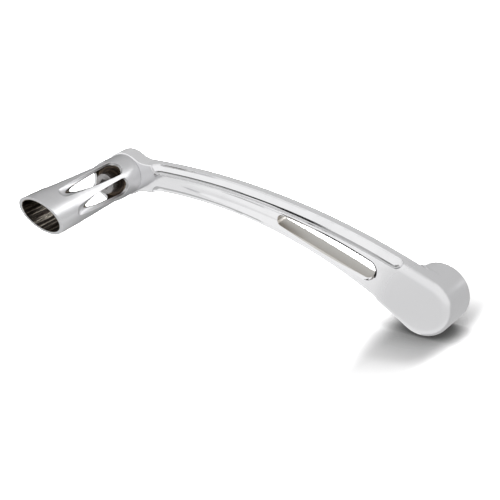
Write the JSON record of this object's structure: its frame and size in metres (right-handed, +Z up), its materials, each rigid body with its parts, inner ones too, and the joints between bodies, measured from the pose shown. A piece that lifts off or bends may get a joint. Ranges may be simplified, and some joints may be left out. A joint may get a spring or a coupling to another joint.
{
  "type": "motorcycle shift lever with toe peg",
  "caption": "Curved fluted lever with a tapered slot, a clamp hub on a serrated bore at one end and a hollow slotted toe peg screwed to the other.",
  "frame": {"origin": "centre of the mouth of the hub's bore, on the pivot axis", "axes": "Y is the pivot axis and +Y points out of the mouth of the bore, towards the machine; the peg stands out along -Y, +X points from the peg to the hub, and +Z is up"},
  "size_m": [0.2423, 0.1202, 0.0745],
  "materials": {
    "arm_chrome": "polished",
    "peg_chrome": "polished",
    "screw_steel": "satin"
  },
  "bodies": {
    "root": {"arm": "arm_chrome", "toe_peg": "peg_chrome", "peg_screw": "screw_steel", "pinch_screw": "screw_steel"}
  },
  "joints": []
}
